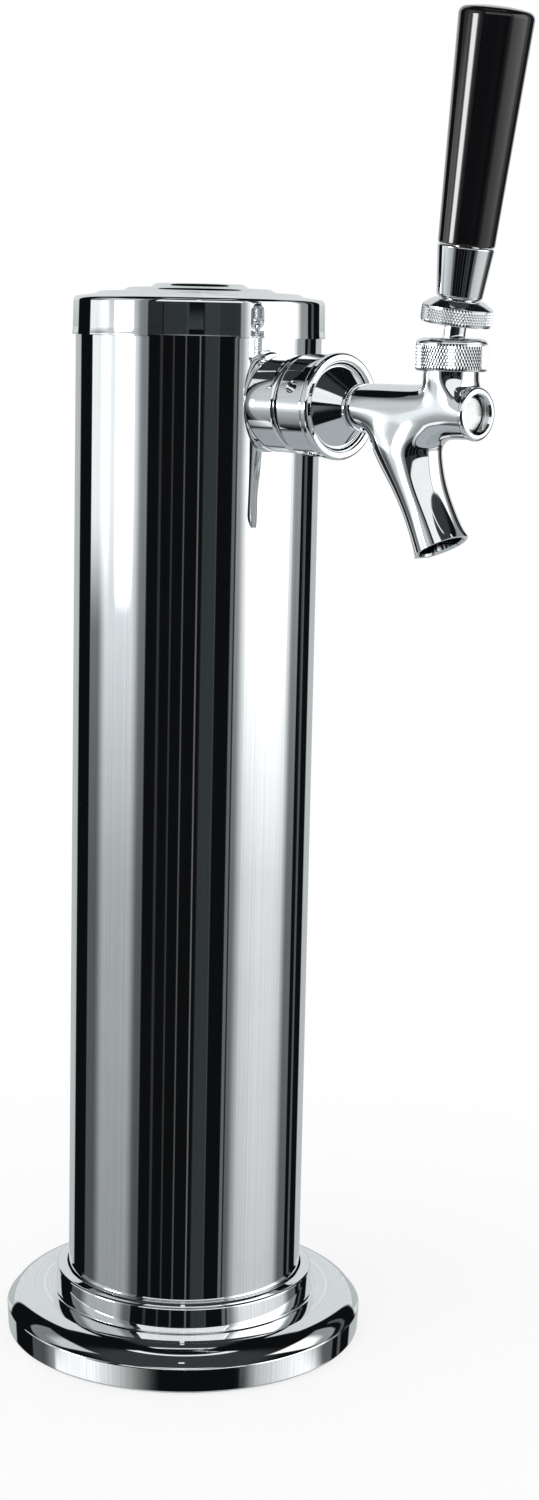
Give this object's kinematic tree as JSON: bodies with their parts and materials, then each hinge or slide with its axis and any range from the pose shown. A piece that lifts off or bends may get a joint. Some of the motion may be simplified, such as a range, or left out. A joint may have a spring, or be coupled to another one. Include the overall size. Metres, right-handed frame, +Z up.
{
  "type": "beer tower dispenser",
  "caption": "Chromed column on a round flanged base, with a side faucet, a swinging lever and a black tapered tap handle.",
  "frame": {"origin": "centre of the base's underside, on the column's axis", "axes": "+Z up along the column, -Y towards the faucet and the user, +X across"},
  "size_m": [0.1164, 0.1832, 0.415],
  "materials": {
    "base_gasket": "matt black",
    "mounting_flange": "plain, lightly brushed",
    "base_cover": "mirror polished",
    "column_tube": "mirror polished",
    "insulation_sleeve": "closed-cell foam",
    "top_cap": "mirror polished",
    "cap_plug": "matt black",
    "shank_adapter": "mirror polished",
    "shank_body": "machined",
    "shank_flange": "mirror polished",
    "saddle_washer": "plain, lightly brushed",
    "coupling_nut": "mirror polished",
    "coupling_washer": "natural nylon",
    "shank_locknut": "machined",
    "tail_washer": "matt black",
    "tail_nut": "machined",
    "tailpiece": "machined",
    "beer_line": "clear vinyl, smooth",
    "hose_clamp": "plain, lightly brushed",
    "faucet_body": "mirror polished",
    "faucet_shaft": "plain, lightly brushed",
    "shaft_seal": "matt black",
    "shaft_nut": "machined",
    "lever": "mirror polished",
    "ball_washer": "natural nylon",
    "friction_ring": "natural nylon",
    "bonnet": "mirror polished",
    "lever_collar": "mirror polished",
    "handle_ferrule": "mirror polished",
    "handle_insert": "machined",
    "tap_handle": "high gloss black"
  },
  "bodies": {
    "tower": {"base_gasket": "base_gasket", "mounting_flange": "mounting_flange", "column_tube": "column_tube", "insulation_sleeve": "insulation_sleeve", "shank_adapter": "shank_adapter", "shank_body": "shank_body", "shank_flange": "shank_flange", "saddle_washer": "saddle_washer", "coupling_nut": "coupling_nut", "coupling_washer": "coupling_washer", "shank_locknut": "shank_locknut", "tail_washer": "tail_washer", "tail_nut": "tail_nut", "tailpiece": "tailpiece", "beer_line": "beer_line", "hose_clamp": "hose_clamp", "faucet_body": "faucet_body", "ball_washer": "ball_washer", "friction_ring": "friction_ring", "bonnet": "bonnet"},
    "cover": {"base_cover": "base_cover"},
    "cap": {"top_cap": "top_cap", "cap_plug": "cap_plug"},
    "lever": {"lever": "lever", "lever_collar": "lever_collar", "handle_ferrule": "handle_ferrule", "handle_insert": "handle_insert", "tap_handle": "tap_handle"},
    "plunger": {"faucet_shaft": "faucet_shaft", "shaft_seal": "shaft_seal", "shaft_nut": "shaft_nut"}
  },
  "joints": [
    {"name": "lever_swing", "type": "hinge", "parent": "tower", "child": "lever", "pos_m": [0, -0.1025, 0.3204], "axis": [1, 0, 0], "range_deg": [0, 20]},
    {"name": "plunger_slide", "type": "slide", "parent": "tower", "child": "plunger", "axis": [0, 1, 0], "range_m": [0, 0.0049]},
    {"name": "cap_lift", "type": "slide", "parent": "tower", "child": "cap", "axis": [0, 0, 1], "range_m": [0, 0.03]},
    {"name": "cover_lift", "type": "slide", "parent": "tower", "child": "cover", "axis": [0, 0, 1], "range_m": [0, 0.06]}
  ],
  "couplings": [
    {"joint": "plunger_slide", "follows": "lever_swing", "m_per_rad": 0.01376}
  ]
}
